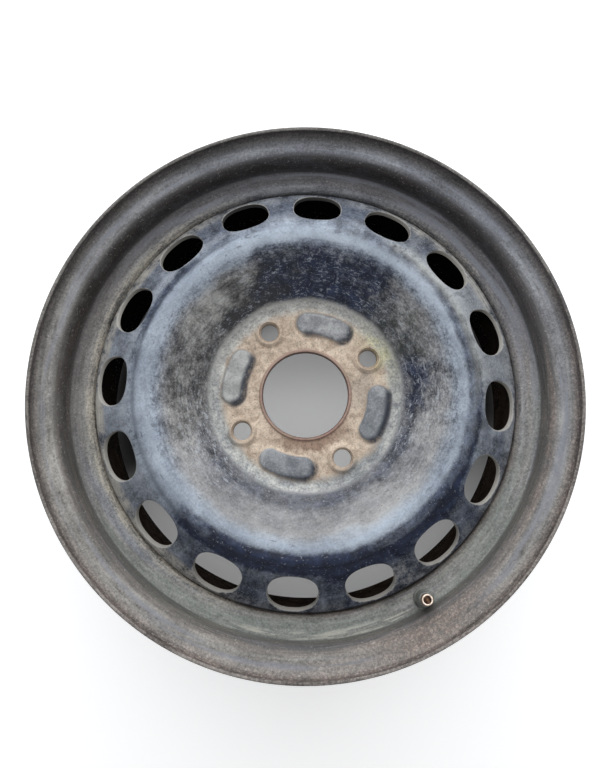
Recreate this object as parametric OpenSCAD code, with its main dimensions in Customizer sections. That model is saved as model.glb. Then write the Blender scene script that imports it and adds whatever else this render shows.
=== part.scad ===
// Pressed steel road wheel for a car, with its snap-in tyre valve.
// All sizes are in millimetres. The origin is the centre of the hub's mounting face,
// +Z is the wheel's axis towards the street side, and a bolt hole lies on +X.

/* [Rim] */
// Rim diameter at the heels of the bead seats
rim_diameter = 354.8; // [340:0.2:370]
// Distance between the tyre sides of the two flanges
rim_width = 139.7; // [127:0.1:152.4]
// Distance of the mounting face from the rim's middle plane, to the street side
wheel_offset = 47.5; // [40:0.5:52]
// Thickness of the rolled rim strip
rim_sheet = 2.4; // [2:0.1:3]
// Height of each flange above its bead seat
flange_height = 17.5; // [16.5:0.1:19]
// Width of each flange, from its tyre side to its lip
flange_width = 12; // [11:0.1:13]
// Radius of each flange's rolled curl
flange_curl = 9.5; // [9:0.1:10.5]
// Radius of the heel between flange and bead seat
heel_radius = 6.5; // [5:0.1:8]
// Width of each bead seat
seat_width = 14.5; // [13.5:0.1:16]
// Taper of each bead seat in degrees
seat_taper = 5; // [3:0.5:7]
// Height of the hump that keeps each bead on its seat
hump_height = 1; // [0.6:0.1:1.6]
// Width of each hump's rise
hump_width = 5.5; // [4:0.1:7]
// Radius of the blend from seat to hump
hump_blend = 6; // [3:0.5:8]

/* [Well] */
// Depth of the well below the heels of the bead seats
well_depth = 17.3; // [15:0.1:19]
// Width of the well's floor, between the corners of its two walls
well_width = 54; // [48:0.5:58]
// Lean of the street-side wall of the well in degrees
wall_lean = 12; // [8:1:18]
// Radius at the top of the well's walls
wall_top_radius = 4; // [3:0.5:6]
// Radius at the foot of the street-side wall
wall_foot_radius = 6; // [4:0.5:8]
// Radius at the foot of the brake-side ramp
ramp_foot_radius = 12; // [8:1:20]

/* [Disc] */
// Thickness of the pressed disc
disc_sheet = 3.4; // [3:0.1:4]
// Width of the flat hub face outside the bolt circle
hub_margin = 12.5; // [11:0.5:16]
// Radius of the turn from the hub face up into the bowl
bowl_foot_radius = 10; // [7:0.5:12]
// Height of the crest above the mounting face
crest_height = 34.6; // [30:0.1:38]
// Width of the crest, between the corners of the bowl and the groove
crest_width = 10.5; // [9:0.5:13]
// Rounding of the crest towards the bowl
crest_inner_rounding = 16; // [12:1:18]
// Rounding of the crest towards the groove
crest_outer_rounding = 8; // [5:0.5:9]
// Depth of the groove below the crest
groove_depth = 4; // [3:0.1:6]
// Width of the slope from the crest's corner to the groove
groove_width = 4; // [3:0.1:6]
// Rounding of the groove
groove_rounding = 2; // [1:0.5:4]
// Width of the vented ring, from the groove to the rim
ring_width = 36.2; // [32:0.1:42]
// Slope of the vented ring in degrees
vent_slope = 40; // [36:1:44]
// Radius of the bend from the vented ring to the welded skirt
skirt_bend = 8; // [6:0.5:9]
// Length of the skirt that is pressed into the rim, from the bend's corner
skirt_length = 27; // [22:0.5:32]

/* [Holes] */
// Diameter of the centre bore
bore_diameter = 63.4; // [57:0.1:68]
// Width of the raised lip around the bore
bore_lip_width = 2.6; // [2.2:0.1:4]
// Height of the raised lip above the hub face
bore_lip_height = 1.5; // [1:0.1:2.5]
// Number of wheel bolts
bolt_count = 4; // [3:1:5]
// Diameter of the circle that the bolt holes lie on
bolt_circle = 108; // [104:0.1:112]
// Diameter of each bolt hole
bolt_hole = 13; // [12:0.1:14]
// Diameter of the nut seat's mouth
seat_mouth = 15.4; // [15:0.1:18]
// Half angle of the nut seat's cone in degrees
seat_half_angle = 30; // [25:5:45]
// Diameter of the raised boss around each bolt hole, at its foot
boss_foot = 23; // [21:0.5:25]
// Diameter of the boss at its top
boss_top = 18.4; // [18:0.1:20]
// Height of the boss above the hub face
boss_height = 2.4; // [1.6:0.1:3]
// Number of vent holes
vent_count = 16; // [8:1:20]
// Diameter of each vent hole
vent_hole = 35.6; // [32:0.1:36.5]

/* [Hub pads] */
// Length of each raised pad along the bolt circle
pad_length = 44; // [38:0.5:46]
// Width of each raised pad
pad_width = 18.4; // [15:0.2:19]
// Height of the pads above the hub face
pad_height = 2.3; // [1.5:0.1:2.8]
// Width of the sloped edge of the pads
pad_slope = 2.4; // [1.5:0.1:3]

/* [Welds] */
// Number of weld runs between disc and rim
weld_count = 8; // [4:1:12]
// Length of each weld run in degrees of the circle
weld_span = 20; // [12:1:26]
// Leg of the weld along the rim
weld_leg = 4.2; // [3:0.1:6]

/* [Valve] */
// Radial distance of the valve hole's centre from the well's floor
valve_rise = 8.5; // [7:0.1:10]
// Diameter of the valve hole
valve_hole = 11.5; // [11:0.1:12]
// Height of the valve above the rim's face
valve_height = 31.5; // [28:0.5:34]
// Depth of the valve inside the tyre space, below the strip
valve_inside = 8.6; // [7.5:0.1:9]
// Diameter of the rubber shoulder on the street side
rubber_shoulder = 15.2; // [14.4:0.1:16]
// Diameter of the rubber head in the tyre space
rubber_head = 18.4; // [17:0.1:19]
// Diameter of the rubber sleeve at its top
rubber_top = 9.4; // [9:0.1:10.4]
// Length of brass that stands out of the rubber
bare_thread = 9.5; // [8:0.1:11]
// Diameter of the brass thread
stem_thread = 7.7; // [7.4:0.1:8]
// Diameter of the brass inside the rubber
stem_shank = 6.4; // [6.2:0.1:6.8]

/* [Valve core] */
// Diameter of the core's thread
core_thread = 5.2; // [5:0.1:5.4]
// Gap around the core's barrel in the air way
air_gap = 0.2; // [0.1:0.05:0.3]
// Length of the threaded plug
plug_length = 5.4; // [5:0.1:6]
// Thickness of the plug's bridge that a core key turns
bridge_width = 1.9; // [1.7:0.1:2.2]
// Length of the plug's bridge
bridge_length = 2.2; // [1.8:0.1:2.6]
// Outer diameter of the core's barrel
barrel_outer = 3.5; // [3.4:0.1:3.6]
// Wall of the core's barrel
barrel_wall = 0.3; // [0.25:0.05:0.35]
// Length of the core's barrel
barrel_length = 7; // [6.5:0.1:8]
// Diameter of the pin
pin_diameter = 1.1; // [1:0.05:1.2]
// Gap around the pin where the barrel guides it
pin_gap = 0.06; // [0.04:0.01:0.1]
// Depth of the pin's tip below the stem's mouth
pin_depth = 0.3; // [0.1:0.1:0.5]
// Travel of the pin until its head meets the plug's bridge
pin_travel = 1.2; // [0.8:0.1:1.4]
// Height of the rubber seal above the cup's floor
seal_height = 1.5; // [1.2:0.1:1.8]
// Height of the seal that stands out of its cup
seal_proud = 0.6; // [0.4:0.1:0.8]
// Diameter of the spring's wire
spring_wire = 0.25; // [0.2:0.05:0.3]
// Number of turns in the spring
spring_turns = 5; // [4:1:6]

/* [Hidden] */
$fn = 96;
// Overlap that lets a cut run clean through a face
eps = 0.5;

// Heights of the two lips and radii of the strip
lip_z = rim_width / 2 + flange_width - wheel_offset;
back_lip_z = -rim_width / 2 - flange_width - wheel_offset;
heel_r = rim_diameter / 2;
flange_r = heel_r + flange_height;
well_r = heel_r - well_depth;
well_inner_r = well_r - rim_sheet;
seat_end_r = heel_r - seat_width * tan(seat_taper);
seat_end_x = flange_width + seat_width;
hump_r = seat_end_r + hump_height;
hump_x = seat_end_x + hump_width;
wall_foot_x = hump_x + (hump_r - well_r) * tan(wall_lean);
ramp_foot_z = lip_z - wall_foot_x - well_width;

// Corners of the disc's face, from the bore to the end of the skirt
hub_face_z = disc_sheet;
bore_r = bore_diameter / 2;
bolt_r = bolt_circle / 2;
hub_r = bolt_r + hub_margin;
groove_r = well_inner_r - ring_width;
groove_z = crest_height - groove_depth;
crest_outer_r = groove_r - groove_width;
crest_inner_r = crest_outer_r - crest_width;
skirt_corner_z = groove_z - ring_width * tan(vent_slope);
skirt_end_z = skirt_corner_z - skirt_length;

// The vent holes lie on the sloped ring and reach out to where the bend begins
bend_start_r = well_inner_r - skirt_bend * tan((90 - vent_slope) / 2) * cos(vent_slope);
vent_reach_r = vent_hole / 2 * cos(vent_slope);
vent_r = bend_start_r - vent_reach_r;
vent_z = groove_z - (vent_r - groove_r) * tan(vent_slope);

// The valve stands square on the well's street-side wall, in line with a bolt hole
valve_angle = 270;
valve_radius = well_r + valve_rise;
valve_x = hump_x + (hump_r - valve_radius) * tan(wall_lean) - rim_sheet / cos(wall_lean);
valve_z = lip_z - valve_x;

// Stations along the valve, measured from the rim's face
mouth_w = valve_height;
stem_foot_w = -rim_sheet - valve_inside;
rubber_end_w = mouth_w - bare_thread;

// The pin: its head, its collar above the spring and the rivet at its foot
pin_r = pin_diameter / 2;
pin_top_w = mouth_w - pin_depth;
pin_head = 0.5;
pin_head_r = pin_r + 0.4;
pin_bevel = 0.2;
stop_gap = 0.1;
collar_drop = 0.9;
collar_height = 0.5;
collar_gap = 0.15;
rivet_height = 0.6;
rivet_r = pin_r + 0.3;

// The plug and the barrel hang below the pin's head, and the seal closes the barrel's foot
plug_top_w = pin_top_w - pin_head - pin_travel - stop_gap;
plug_foot_w = plug_top_w - plug_length;
plug_way_r = pin_r + 0.2;
barrel_r = barrel_outer / 2;
barrel_inner_r = barrel_r - barrel_wall;
way_r = barrel_r + air_gap;
barrel_floor = 0.9;
barrel_foot_w = plug_foot_w - barrel_length;
collar_r = barrel_inner_r - collar_gap;
collar_w = plug_foot_w - collar_drop;
cup_wall = 0.3;
cup_r = barrel_r - 0.1;
seal_r = cup_r - cup_wall;
cup_foot_w = barrel_foot_w - seal_height - cup_wall;

// The gasket fills the cone in the stem and a short ring above it
cone_drop = 1.2;
cone_height = 1.6;
gasket_ring = 0.3;
cone_top_w = plug_foot_w - cone_drop;
cone_foot_w = cone_top_w - cone_height;

// Unit vector along v, and v turned to its left
function unit(v) = v / norm(v);
function left(v) = [-v[1], v[0]];

// Points of an arc about c, from angle a to angle b
function arc(c, r, a, b, steps) = [for (i = [0:steps])
    let (t = a + (b - a) * i / steps) c + r * [cos(t), sin(t)]];

// Length that the fillet of corner i takes from each of its walls
function fillet_reach(c, i) = i <= 0 || i >= len(c) - 1 ? 0 :
    let (
        u = unit([c[i][0] - c[i - 1][0], c[i][1] - c[i - 1][1]]),
        v = unit([c[i + 1][0] - c[i][0], c[i + 1][1] - c[i][1]])
    )
    c[i][2] * tan(acos(min(1, u * v)) / 2);

// Share of its radius that corner i keeps, so that two fillets never meet on the wall from i to i + 1
function wall_share(c, i) =
    let (wall = norm([c[i + 1][0] - c[i][0], c[i + 1][1] - c[i][1]]))
    min(1, 0.98 * wall / max(eps / 100, fillet_reach(c, i) + fillet_reach(c, i + 1)));

// Points of corner b between a and c, rounded to radius r
function rounded(a, b, c, r, steps) =
    let (
        u = unit(a - b),
        v = unit(c - b),
        half = acos(u * v) / 2,
        centre = b + unit(u + v) * r / sin(half),
        start = b + u * r / tan(half) - centre,
        side = cross(u, v) > 0 ? -1 : 1,
        a0 = atan2(start[1], start[0])
    )
    arc(centre, r, a0, a0 + side * (180 - 2 * half), steps);

// Path through corners [x, y, radius], with its first and last point kept
function path(corners, steps) =
    let (
        n = len(corners),
        xy = [for (c = corners) [c[0], c[1]]]
    )
    [for (i = [0:n - 1])
        each (i == 0 || i == n - 1 || corners[i][2] == 0)
            ? [xy[i]]
            : rounded(xy[i - 1], xy[i], xy[i + 1],
                corners[i][2] * min(wall_share(corners, i - 1), wall_share(corners, i)), steps)];

// Point i of path p moved by t to its left, so that the strip keeps its thickness
function shifted(p, i, t) =
    let (
        before = left(unit(p[max(i, 1)] - p[max(i, 1) - 1])),
        after = left(unit(p[min(i, len(p) - 2) + 1] - p[min(i, len(p) - 2)])),
        m = before + after
    )
    p[i] + t * m * 2 / (m * m);

// Closed outline of a sheet of thickness t on the right of path p
function sheet(p, t) = concat(p, [for (i = [len(p) - 1:-1:0]) shifted(p, i, -t)]);

// One side of the rim's contour as [radius, distance from that side's lip], lip first
lip_angle = asin((flange_width - flange_curl) / flange_curl);
curl = arc([flange_r - flange_curl, flange_width - flange_curl], flange_curl, -lip_angle, 90, 10);
function bead_side(foot, foot_radius) = concat(curl, path([
    [flange_r - flange_curl, flange_width, 0],
    [heel_r, flange_width, heel_radius],
    [seat_end_r, seat_end_x, hump_blend],
    [hump_r, hump_x, wall_top_radius],
    [foot[0], foot[1], foot_radius],
    [foot[0], foot[1] + well_width / 2, 0]
], 4));

// Tyre side of the whole strip as [radius, height], from the street-side lip to the other
function flip(p) = [for (i = [len(p) - 1:-1:0]) p[i]];
function unique(p) = [for (i = [0:len(p) - 1]) if (i == 0 || norm(p[i] - p[i - 1]) > 0.01) p[i]];
street_side = [for (q = bead_side([well_r, wall_foot_x], wall_foot_radius)) [q[0], lip_z - q[1]]];
brake_side = [for (q = bead_side([well_r, ramp_foot_z - back_lip_z], ramp_foot_radius))
    [q[0], back_lip_z + q[1]]];
rim_path = unique(concat(street_side, flip(brake_side)));

// Front face of the disc as [radius, height], from the bore to the skirt's end
disc_path = path([
    [bore_r, hub_face_z, 0],
    [hub_r, hub_face_z, bowl_foot_radius],
    [crest_inner_r, crest_height, crest_inner_rounding],
    [crest_outer_r, crest_height, crest_outer_rounding],
    [groove_r, groove_z, groove_rounding],
    [well_inner_r, skirt_corner_z, skirt_bend],
    [well_inner_r, skirt_end_z, 0]
], 6);

// Places children at the valve's foot, with +Z along the valve and out of the wheel
module at_valve() {
    rotate([0, 0, valve_angle])
        translate([valve_radius, 0, valve_z])
            rotate([0, -wall_lean, 0])
                children();
}

// Ring turned from its outline [radius, height]
module turned(outline) {
    rotate_extrude() polygon(outline);
}

module rim_strip() {
    turned(sheet(rim_path, rim_sheet));
}

module rim() {
    color([0.27, 0.25, 0.24])
        difference() {
            rim_strip();
            at_valve() translate([0, 0, -4 * rim_sheet])
                cylinder(d = valve_hole, h = 6 * rim_sheet);
        }
}

// Pad along the bolt circle with sloped edges: its size at height z, its rise above and root below
module pad(z, length, width, slope, height, root) {
    half_turn = (length - width) / 2 / bolt_r * 180 / PI;
    foot_r = width / 2 + root * slope / height;
    top_r = width / 2 - slope;
    section = [
        [bolt_r - foot_r, z - root],
        [bolt_r + foot_r, z - root],
        [bolt_r + top_r, z + height],
        [bolt_r - top_r, z + height]
    ];
    rotate([0, 0, -half_turn])
        rotate_extrude(angle = 2 * half_turn) polygon(section);
    for (side = [-1, 1])
        rotate([0, 0, side * half_turn]) translate([bolt_r, 0, z - root])
            cylinder(r1 = foot_r, r2 = top_r, h = height + root);
}

// Places children in the middle between each two bolt holes
module at_pads() {
    for (i = [0:bolt_count - 1])
        rotate([0, 0, (i + 0.5) * 360 / bolt_count]) children();
}

// Places children at each bolt hole
module at_bolts() {
    for (i = [0:bolt_count - 1])
        rotate([0, 0, i * 360 / bolt_count]) translate([bolt_r, 0, 0]) children();
}

module disc() {
    seat_depth = (seat_mouth - bolt_hole) / 2 / tan(seat_half_angle);
    boss_z = hub_face_z + boss_height;
    boss_slope = (boss_foot - boss_top) / boss_height;
    // Depth of a pad's root in the sheet, and what the press stretches the sheet there
    root = disc_sheet / 3;
    stretch = 0.4;
    color([0.30, 0.34, 0.42])
        difference() {
            union() {
                turned(sheet(disc_path, disc_sheet));
                turned([
                    [bore_r, hub_face_z - root],
                    [bore_r + bore_lip_width, hub_face_z - root],
                    [bore_r + bore_lip_width, hub_face_z + 0.3 * bore_lip_height],
                    [bore_r + 0.7 * bore_lip_width, hub_face_z + bore_lip_height],
                    [bore_r + 0.3 * bore_lip_width, hub_face_z + bore_lip_height],
                    [bore_r, hub_face_z + 0.6 * bore_lip_height]
                ]);
                at_bolts() translate([0, 0, hub_face_z - root])
                    cylinder(d1 = boss_foot + root * boss_slope, d2 = boss_top, h = boss_height + root);
                at_pads() pad(hub_face_z, pad_length, pad_width, pad_slope, pad_height, root);
            }
            at_bolts() translate([0, 0, -eps])
                cylinder(d = bolt_hole, h = boss_z + 2 * eps);
            at_bolts() translate([0, 0, boss_z - seat_depth])
                cylinder(d1 = bolt_hole, d2 = seat_mouth, h = seat_depth);
            at_pads() pad(0, pad_length - 2 * pad_slope, pad_width - 2 * pad_slope, pad_slope,
                pad_height - stretch, 0);
            for (i = [0:vent_count - 1])
                rotate([0, 0, (i + 0.5) * 360 / vent_count]) translate([vent_r, 0, vent_z])
                    rotate([0, vent_slope, 0])
                        cylinder(d = vent_hole, h = 6 * disc_sheet, center = true);
        }
}

module weld_beads() {
    color([0.33, 0.29, 0.27])
        for (i = [0:weld_count - 1])
            rotate([0, 0, i * 360 / weld_count - weld_span / 2])
                rotate_extrude(angle = weld_span)
                    polygon([
                        [well_inner_r, skirt_end_z],
                        [well_inner_r - disc_sheet, skirt_end_z],
                        [well_inner_r - 0.6 * disc_sheet, skirt_end_z - 0.55 * weld_leg],
                        [well_inner_r, skirt_end_z - weld_leg]
                    ]);
}

// Solid of the rubber before the strip and the stem are taken out of it
module rubber_form() {
    shoulder_r = rubber_shoulder / 2;
    shoulder_height = 2;
    shoulder_bevel = 0.7;
    head_r = rubber_head / 2;
    head_bevel = 0.28 * head_r;
    top_r = rubber_top / 2;
    top_bevel = 0.6;
    // The sleeve runs thicker from its shoulder to the waist, a little over half way up
    waist_r = top_r + 0.8;
    waist_w = 0.55 * rubber_end_w;
    turned([
        [0, stem_foot_w],
        [head_r - head_bevel, stem_foot_w],
        [head_r, -rim_sheet - valve_inside / 2],
        [head_r, 0],
        [shoulder_r, 0],
        [shoulder_r, shoulder_height],
        [shoulder_r - shoulder_bevel, shoulder_height + 2 * shoulder_bevel],
        [waist_r, waist_w],
        [top_r, rubber_end_w - top_bevel],
        [top_r - top_bevel, rubber_end_w],
        [0, rubber_end_w]
    ]);
}

module valve_rubber() {
    color([0.12, 0.12, 0.12])
        difference() {
            union() {
                intersection() {
                    at_valve() rubber_form();
                    tyre_space();
                }
                difference() {
                    at_valve() intersection() {
                        rubber_form();
                        translate([0, 0, -2 * rim_sheet])
                            cylinder(d = rubber_shoulder, h = 2 * rim_sheet + valve_height);
                    }
                    rim_strip();
                    tyre_space();
                }
                at_valve() translate([0, 0, -1.5 * rim_sheet])
                    cylinder(d = valve_hole, h = 2 * rim_sheet);
            }
            at_valve() stem_form();
        }
}

// The room on the tyre side of the strip, from the street-side lip to the middle of the well
module tyre_space() {
    turned(concat(street_side, [
        [flange_r + flange_width, street_side[len(street_side) - 1][1]],
        [flange_r + flange_width, lip_z]
    ]));
}

// The brass stem's outer form: it runs from below its foot in the tyre space to its mouth
module stem_form() {
    thread_r = stem_thread / 2;
    shank_r = stem_shank / 2;
    foot_r = shank_r + 0.7;
    foot_height = 1;
    foot_slope = 1.2;
    mouth_bevel = 0.6;
    turned([
        [0, stem_foot_w - eps],
        [foot_r, stem_foot_w - eps],
        [foot_r, stem_foot_w + foot_height],
        [shank_r, stem_foot_w + foot_height + foot_slope],
        [shank_r, rubber_end_w - foot_slope],
        [thread_r, rubber_end_w],
        [thread_r, mouth_w - mouth_bevel],
        [thread_r - mouth_bevel, mouth_w],
        [0, mouth_w]
    ]);
}

module valve_stem() {
    thread_r = core_thread / 2;
    mouth_r = thread_r + 0.25;
    mouth_depth = 0.5;
    color([0.80, 0.68, 0.48])
        at_valve() difference() {
            intersection() {
                stem_form();
                translate([0, 0, stem_foot_w]) cylinder(d = rubber_head, h = mouth_w - stem_foot_w);
            }
            turned([
                [0, mouth_w + eps],
                [mouth_r, mouth_w + eps],
                [mouth_r, mouth_w - mouth_depth],
                [thread_r, mouth_w - 1.5 * mouth_depth],
                [thread_r, cone_top_w],
                [way_r, cone_foot_w],
                [way_r, stem_foot_w - eps],
                [0, stem_foot_w - eps]
            ]);
        }
}

module core_plug() {
    color([0.72, 0.58, 0.34])
        at_valve() difference() {
            union() {
                translate([0, 0, plug_foot_w])
                    cylinder(d = core_thread, h = plug_length - bridge_length);
                intersection() {
                    translate([0, 0, plug_foot_w]) cylinder(d = core_thread, h = plug_length);
                    translate([-core_thread, -bridge_width / 2, plug_foot_w])
                        cube([2 * core_thread, bridge_width, plug_length]);
                }
            }
            translate([0, 0, plug_foot_w - eps])
                cylinder(r = plug_way_r, h = plug_length + 2 * eps);
        }
}

module core_barrel() {
    guide_r = pin_r + pin_gap;
    color([0.74, 0.60, 0.36])
        at_valve() turned([
            [guide_r, barrel_foot_w],
            [barrel_r, barrel_foot_w],
            [barrel_r, plug_foot_w],
            [barrel_inner_r, plug_foot_w],
            [barrel_inner_r, barrel_foot_w + barrel_floor],
            [guide_r, barrel_foot_w + barrel_floor]
        ]);
}

module core_gasket() {
    thread_r = core_thread / 2;
    color([0.75, 0.16, 0.12])
        at_valve() turned([
            [barrel_r, cone_foot_w],
            [way_r, cone_foot_w],
            [thread_r, cone_top_w],
            [thread_r, cone_top_w + gasket_ring],
            [barrel_r, cone_top_w + gasket_ring]
        ]);
}

module core_pin() {
    color([0.66, 0.64, 0.58])
        at_valve() turned([
            [0, cup_foot_w - rivet_height],
            [rivet_r, cup_foot_w - rivet_height],
            [rivet_r, cup_foot_w],
            [pin_r, cup_foot_w],
            [pin_r, collar_w - collar_height],
            [collar_r, collar_w - collar_height],
            [collar_r, collar_w],
            [pin_r, collar_w],
            [pin_r, pin_top_w - pin_head],
            [pin_head_r, pin_top_w - pin_head],
            [pin_head_r, pin_top_w - pin_bevel],
            [pin_head_r - pin_bevel, pin_top_w],
            [0, pin_top_w]
        ]);
}

module core_cup() {
    cup_top_w = barrel_foot_w - seal_proud;
    color([0.70, 0.57, 0.33])
        at_valve() turned([
            [pin_r, cup_foot_w],
            [cup_r, cup_foot_w],
            [cup_r, cup_top_w],
            [seal_r, cup_top_w],
            [seal_r, cup_foot_w + cup_wall],
            [pin_r, cup_foot_w + cup_wall]
        ]);
}

module cup_seal() {
    color([0.10, 0.10, 0.10])
        at_valve() turned([
            [pin_r, cup_foot_w + cup_wall],
            [seal_r, cup_foot_w + cup_wall],
            [seal_r, barrel_foot_w],
            [pin_r, barrel_foot_w]
        ]);
}

// Wire of round section wound about the pin, between the collar and the barrel's floor
module core_spring() {
    low = barrel_foot_w + barrel_floor + spring_wire / 2;
    high = collar_w - collar_height - spring_wire / 2;
    mean_r = (pin_r + barrel_inner_r) / 2;
    sides = 6;
    rings_per_turn = 16;
    rings = rings_per_turn * spring_turns;
    points = [for (i = [0:rings]) for (k = [0:sides - 1])
        let (
            turn = 360 * spring_turns * i / rings,
            r = mean_r + spring_wire / 2 * cos(360 * k / sides)
        )
        [r * cos(turn), r * sin(turn), low + (high - low) * i / rings
            + spring_wire / 2 * sin(360 * k / sides)]];
    walls = [for (i = [0:rings - 1]) for (k = [0:sides - 1])
        let (a = i * sides + k, b = i * sides + (k + 1) % sides)
        [a, a + sides, b + sides, b]];
    ends = [[for (k = [0:sides - 1]) k], [for (k = [sides - 1:-1:0]) rings * sides + k]];
    color([0.60, 0.60, 0.62])
        at_valve() polyhedron(points, concat(walls, ends));
}

rim();
disc();
weld_beads();
valve_rubber();
valve_stem();
core_plug();
core_barrel();
core_gasket();
core_pin();
core_cup();
cup_seal();
core_spring();
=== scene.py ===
# Looks of a used pressed steel wheel: fine sheet forms, weld runs, a threaded valve and worn paint, into
# which some highlights and shade are painted.
import math
import random

import bpy
import numpy as np
from mathutils import Matrix, Vector


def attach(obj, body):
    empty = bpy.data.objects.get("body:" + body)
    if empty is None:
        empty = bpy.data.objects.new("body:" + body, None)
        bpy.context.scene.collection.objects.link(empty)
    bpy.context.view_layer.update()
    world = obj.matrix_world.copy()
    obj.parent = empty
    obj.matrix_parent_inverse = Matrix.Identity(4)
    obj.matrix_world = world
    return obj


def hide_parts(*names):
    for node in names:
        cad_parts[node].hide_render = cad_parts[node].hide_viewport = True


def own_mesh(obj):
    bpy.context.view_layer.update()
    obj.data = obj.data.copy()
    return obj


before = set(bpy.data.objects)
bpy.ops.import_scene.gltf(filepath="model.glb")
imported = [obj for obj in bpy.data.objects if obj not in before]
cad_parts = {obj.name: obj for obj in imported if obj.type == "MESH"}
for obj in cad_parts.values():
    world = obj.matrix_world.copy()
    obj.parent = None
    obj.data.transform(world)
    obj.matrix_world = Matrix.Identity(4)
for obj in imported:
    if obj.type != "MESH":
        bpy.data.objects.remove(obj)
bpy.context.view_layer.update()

# Sizes are in millimetres, as in the solids, and MM turns them into metres.
MM = 0.001
FULL_TURN = 2 * math.pi
COLUMNS = 320
ANGLES = np.arange(COLUMNS) * FULL_TURN / COLUMNS
rng = random.Random(14)

# The photo's upward direction is this angle from +X; clock angles in degrees run clockwise from it.
PHOTO_UP = math.radians(59.92)

# Rim sizes; each side is measured from its own lip
RIM_SHEET = 2.4
HEEL_R = 177.4
LIP_Z = 34.35
BACK_LIP_Z = -129.35
FLANGE_WIDTH = 12.0
FLANGE_HEIGHT = 17.5
FLANGE_CURL = 9.5
SEAT_WIDTH = 14.5
SEAT_END_R = HEEL_R - SEAT_WIDTH * math.tan(math.radians(5))
HUMP_R = SEAT_END_R + 1.0
HUMP_DEPTH = FLANGE_WIDTH + SEAT_WIDTH + 5.5
WELL_R = 160.1
WELL_WIDTH = 54.0
WALL_LEAN = math.radians(12.0)
EDGE_ROUND = 0.6

# Disc sizes; the skirt stays a hair inside the rim, so that the two share no surface
DISC_SHEET = 3.4
BORE_R = 31.7
BORE_LIP = 1.5
BOLT_COUNT = 4
BOLT_R = 54.0
HUB_R = 66.5
CREST_Z = 34.6
CREST_WIDTH = 10.5
GROOVE_WIDTH = 4.0
GROOVE_Z = 30.6
RING_REACH = 36.2
VENT_COUNT = 16
VENT_R = 17.8
VENT_POWER = 2.4
VENT_SLOPE = math.radians(40.0)
SKIRT_R = WELL_R - RIM_SHEET
SKIRT_GAP = 0.02
SKIRT_BEND = 8.0
GROOVE_R = SKIRT_R - RING_REACH
CREST_END_R = GROOVE_R - GROOVE_WIDTH
SKIRT_CORNER_Z = GROOVE_Z - RING_REACH * math.tan(VENT_SLOPE)
SKIRT_END_Z = SKIRT_CORNER_Z - 27.0

# Raised pads of the hub; the lower side, which gets painted shade, is the one turned to this clock angle
PAD_HALF_WIDTH = 9.2
PAD_HALF_TURN = (44.0 - 2 * PAD_HALF_WIDTH) / 2 / BOLT_R
PAD_SLOPE = 2.4
PAD_HEIGHT = 2.3
PAD_SHADE_CLOCK = 125.0

# Valve sizes; heights along its axis are counted from the rim's street-side face
VALVE_ANGLE = math.radians(270.0)
VALVE_R = WELL_R + 8.5
VALVE_HOLE_R = 5.75
VALVE_TURNS = np.arange(72) * FULL_TURN / 72
THREAD_R = 3.85
THREAD_DEPTH = 0.38
THREAD_PITCH = 0.794
CORE_PITCH = 0.706
THREAD_LOW = 21.6
THREAD_HIGH = 30.9
MOUTH = 31.5


# Curves and profiles

def unit(v):
    return v / np.linalg.norm(v)


def smooth(x):
    x = np.clip(x, 0, 1)
    return x * x * (3 - 2 * x)


def directions(angle):
    """Unit vectors outwards and along the circumference at an angle."""
    c, s = math.cos(angle), math.sin(angle)
    return np.array([c, s, 0]), np.array([-s, c, 0])


def around(r, z, angle):
    """Points at radius r and height z, turned about the wheel's axis."""
    r, z, angle = np.broadcast_arrays(r, z, angle)
    return np.stack([r * np.cos(angle), r * np.sin(angle), z], -1)


def fillet(a, b, c, radius, steps):
    """Points of corner b between a and c, rounded to radius."""
    u, v = unit(a - b), unit(c - b)
    half = math.acos(float(np.clip(u @ v, -1, 1))) / 2
    centre = b + unit(u + v) * radius / math.sin(half)
    start = b + u * radius / math.tan(half) - centre
    end = b + v * radius / math.tan(half) - centre
    a0 = math.atan2(start[1], start[0])
    turn = math.atan2(end[1], end[0]) - a0
    turn = (turn + math.pi) % FULL_TURN - math.pi
    angles = a0 + turn * np.linspace(0, 1, steps + 1)
    return centre + radius * np.stack([np.cos(angles), np.sin(angles)], 1)


def rounded_path(corners, steps):
    """Polyline through corners (radius, height, rounding)."""
    xy = np.array([c[:2] for c in corners], float)
    points = [xy[:1]]
    for i in range(1, len(corners) - 1):
        if corners[i][2] == 0:
            points.append(xy[i:i + 1])
        else:
            points.append(fillet(xy[i - 1], xy[i], xy[i + 1], corners[i][2], steps))
    points.append(xy[-1:])
    return np.concatenate(points)


class Profile:
    """Section of a pressed sheet: its outer face as a polyline, measured by the length along it."""

    def __init__(self, points):
        apart = np.linalg.norm(np.diff(points, axis=0), axis=1) > 1e-4
        self.points = points[np.append(True, apart)]
        step = np.diff(self.points, axis=0)
        length = np.linalg.norm(step, axis=1)
        self.s = np.concatenate([[0], np.cumsum(length)])
        tangent = step / length[:, None]
        joint = np.concatenate([tangent[:1], tangent[:-1] + tangent[1:], tangent[-1:]])
        joint /= np.linalg.norm(joint, axis=1)[:, None]
        self.normals = np.stack([-joint[:, 1], joint[:, 0]], 1)

    def at(self, s, sink=0.0):
        """Radius and height at length s, sunk below the face by sink."""
        r, z = (np.interp(s, self.s, self.points[:, i]) for i in (0, 1))
        nr, nz = (np.interp(s, self.s, self.normals[:, i]) for i in (0, 1))
        return r - sink * nr, z - sink * nz

    def rows(self, start, end, spacing):
        """Lengths from start to end: the profile's own points, and more where these are far apart."""
        inner = self.s[(self.s > start + 0.3) & (self.s < end - 0.3)]
        stops = np.concatenate([[start], inner, [end]])
        rows = [start]
        for a, b in zip(stops[:-1], stops[1:]):
            count = max(1, math.ceil((b - a) / spacing))
            rows += [a + (b - a) * k / count for k in range(1, count + 1)]
        return np.array(rows)


def add_object(name, data):
    """New object in the scene."""
    obj = bpy.data.objects.new(name, data)
    bpy.context.scene.collection.objects.link(obj)
    return obj


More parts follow.
